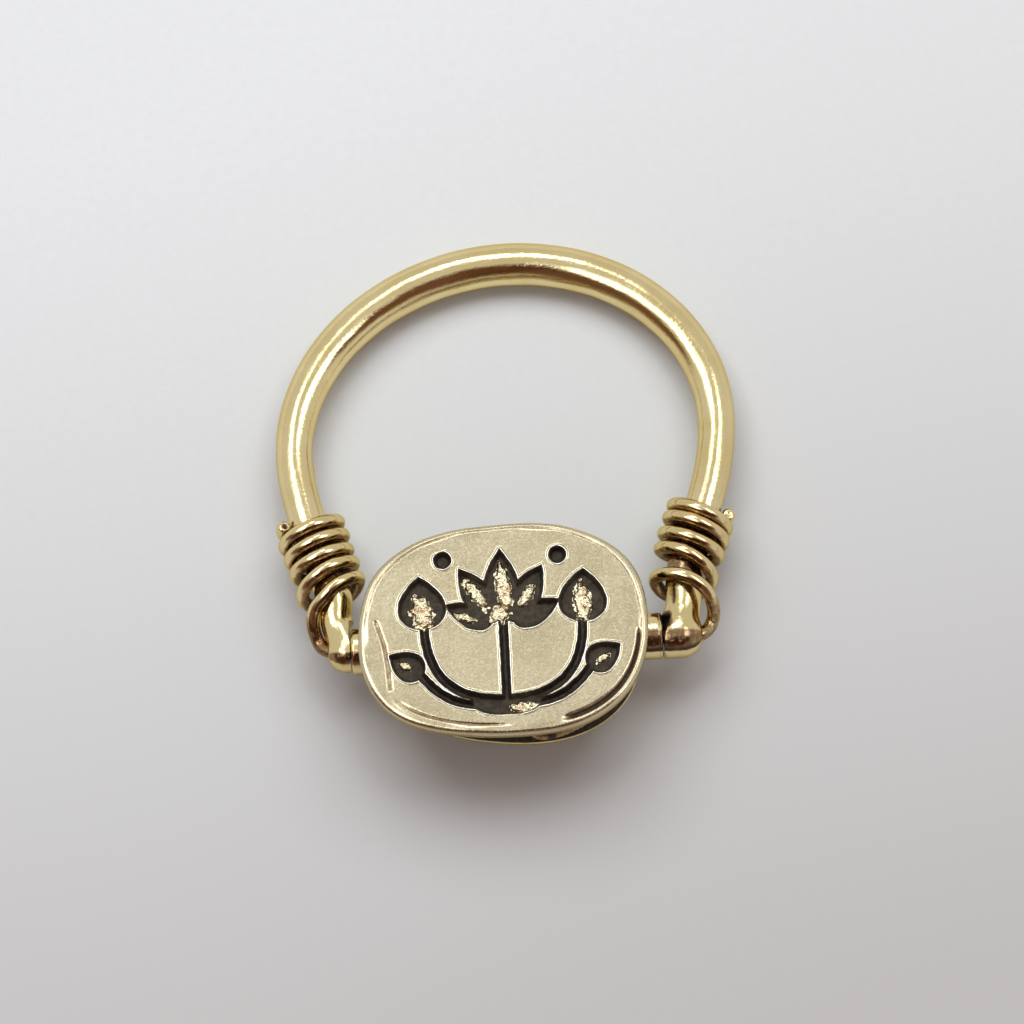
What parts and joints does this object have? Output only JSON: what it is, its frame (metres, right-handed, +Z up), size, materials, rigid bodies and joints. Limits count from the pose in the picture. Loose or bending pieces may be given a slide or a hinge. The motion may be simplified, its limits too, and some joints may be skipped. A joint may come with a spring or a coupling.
{
  "type": "scarab swivel ring",
  "caption": "Gold finger ring whose scarab turns on a wire pivot between the ends of a round hoop, with the wire wound up each shoulder.",
  "frame": {"origin": "bottom centre of the ring's box, on the table that the scarab's back and the far end of the hoop lie on", "axes": "+X along the pivot wire from left to right, +Y from the scarab to the far end of the hoop, +Z up from the table, out of the engraved face"},
  "size_m": [0.022, 0.0244, 0.0065],
  "materials": {
    "polished_gold": "polished pale gold, fine scratches",
    "wire_gold": "polished pale gold wire",
    "seal_gold": "satin pale gold, blackened in the engraving",
    "worn_gold": "worn gold, darkened in the grooves"
  },
  "bodies": {
    "ring": {"hoop": "polished_gold", "pivot_wire": "wire_gold"},
    "scarab": {"seal_plate": "seal_gold", "beetle_back": "worn_gold", "bearing_tube": "worn_gold"},
    "left_collar": {"left_collar": "polished_gold"},
    "right_collar": {"right_collar": "polished_gold"}
  },
  "joints": [
    {"name": "scarab_swivel", "type": "hinge", "parent": "ring", "child": "scarab", "pos_m": [-0.0004, -0.00739, 0.00343], "axis": [1, 0, 0], "continuous": true},
    {"name": "left_collar_spin", "type": "hinge", "parent": "ring", "child": "left_collar", "pos_m": [-0.00703, -0.00739, 0.00343], "axis": [1, 0, 0], "continuous": true},
    {"name": "right_collar_spin", "type": "hinge", "parent": "ring", "child": "right_collar", "pos_m": [0.00634, -0.00739, 0.00343], "axis": [1, 0, 0], "continuous": true}
  ]
}
